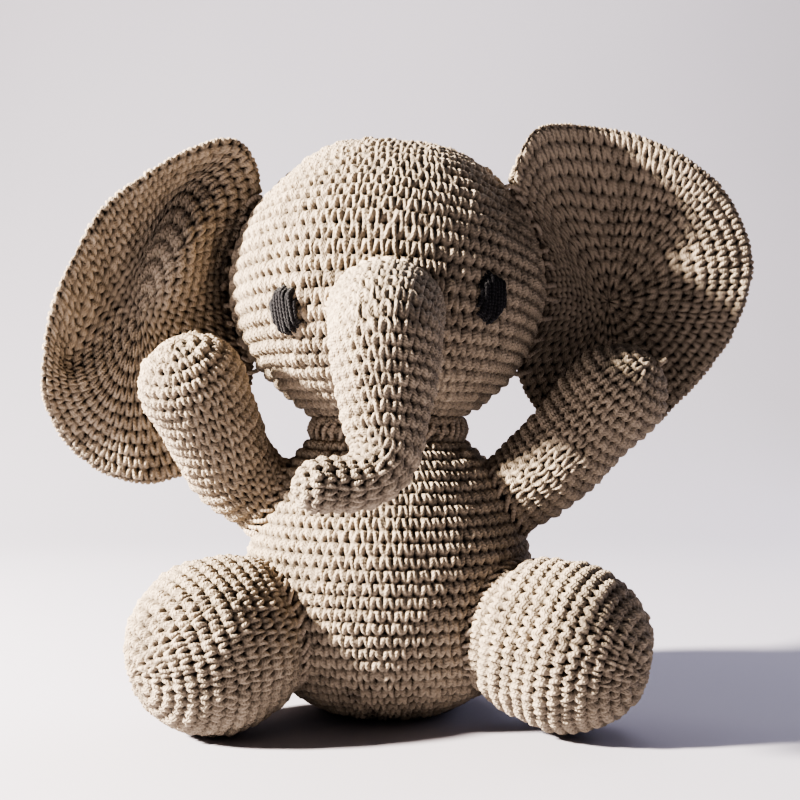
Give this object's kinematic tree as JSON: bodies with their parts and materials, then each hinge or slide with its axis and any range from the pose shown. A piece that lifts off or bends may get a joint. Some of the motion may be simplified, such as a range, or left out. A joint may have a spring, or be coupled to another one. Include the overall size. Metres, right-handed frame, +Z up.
{
  "type": "stuffed elephant",
  "caption": "Sitting crocheted elephant soft toy with a big round head, hooked trunk, wide cupped ears, raised arms and short splayed legs, all sewn to an egg-shaped body.",
  "frame": {"origin": "middle of the flat seat under the torso, on the surface the toy sits on", "axes": "+Z up, face towards -Y, +X to the right of someone facing the toy"},
  "size_m": [0.284, 0.1691, 0.2349],
  "materials": {
    "crochet_yarn": "matte wool-like yarn",
    "sewing_yarn": "matte yarn",
    "black_thread": "satin stitch",
    "polyester_filling": "fluffy fibre"
  },
  "bodies": {
    "torso": {"torso_cover": "crochet_yarn", "torso_stuffing": "polyester_filling", "left_arm_seam_yarn": "sewing_yarn", "right_arm_seam_yarn": "sewing_yarn", "left_leg_seam_yarn": "sewing_yarn", "right_leg_seam_yarn": "sewing_yarn"},
    "neck": {"neck_seam_yarn": "sewing_yarn"},
    "head": {"head_cover": "crochet_yarn", "head_stuffing": "polyester_filling", "left_eye": "black_thread", "right_eye": "black_thread", "trunk_seam_yarn": "sewing_yarn", "left_ear_seam_yarn": "sewing_yarn", "right_ear_seam_yarn": "sewing_yarn"},
    "trunk": {"trunk_cover": "crochet_yarn", "trunk_stuffing": "polyester_filling"},
    "left_ear_sheet": {"left_ear": "crochet_yarn"},
    "right_ear_sheet": {"right_ear": "crochet_yarn"},
    "left_arm": {"left_arm_cover": "crochet_yarn", "left_arm_stuffing": "polyester_filling"},
    "right_arm": {"right_arm_cover": "crochet_yarn", "right_arm_stuffing": "polyester_filling"},
    "left_leg": {"left_leg_cover": "crochet_yarn", "left_leg_stuffing": "polyester_filling"},
    "right_leg": {"right_leg_cover": "crochet_yarn", "right_leg_stuffing": "polyester_filling"}
  },
  "joints": [
    {"name": "head_turn", "type": "hinge", "parent": "torso", "child": "neck", "pos_m": [0, 0, 0.1075], "axis": [0, 0, 1], "range_deg": [-7, 4], "stiffness_Nm_per_rad": 0.8},
    {"name": "head_nod", "type": "hinge", "parent": "neck", "child": "head", "pos_m": [0, 0, 0.1095], "axis": [1, 0, 0], "range_deg": [-6, 5], "stiffness_Nm_per_rad": 1.5},
    {"name": "trunk_lift", "type": "hinge", "parent": "head", "child": "trunk", "pos_m": [0, -0.07756, 0.15076], "axis": [-1, 0, 0], "range_deg": [-6, 25], "stiffness_Nm_per_rad": 0.05},
    {"name": "left_ear_flap", "type": "hinge", "parent": "head", "child": "left_ear_sheet", "pos_m": [-0.059, 0.008, 0.163], "axis": [0, 0, 1], "range_deg": [-10, 8], "stiffness_Nm_per_rad": 0.03},
    {"name": "right_ear_flap", "type": "hinge", "parent": "head", "child": "right_ear_sheet", "pos_m": [0.059, 0.008, 0.163], "axis": [0, 0, -1], "range_deg": [-10, 8], "stiffness_Nm_per_rad": 0.03},
    {"name": "left_arm_raise", "type": "hinge", "parent": "torso", "child": "left_arm", "pos_m": [-0.05935, -0.01261, 0.09285], "axis": [0, 1, 0], "range_deg": [-50, 4], "stiffness_Nm_per_rad": 0.06},
    {"name": "right_arm_raise", "type": "hinge", "parent": "torso", "child": "right_arm", "pos_m": [0.05993, -0.00949, 0.09285], "axis": [0, -1, 0], "range_deg": [-50, 6], "stiffness_Nm_per_rad": 0.06},
    {"name": "left_leg_lift", "type": "hinge", "parent": "torso", "child": "left_leg", "pos_m": [-0.0474, -0.0313, 0.0365], "axis": [-0.5735, 0.8192, 0], "range_deg": [-6, 14], "stiffness_Nm_per_rad": 0.25},
    {"name": "right_leg_lift", "type": "hinge", "parent": "torso", "child": "right_leg", "pos_m": [0.04778, -0.03179, 0.03651], "axis": [-0.4717, -0.8818, 0], "range_deg": [-6, 14], "stiffness_Nm_per_rad": 0.25}
  ]
}
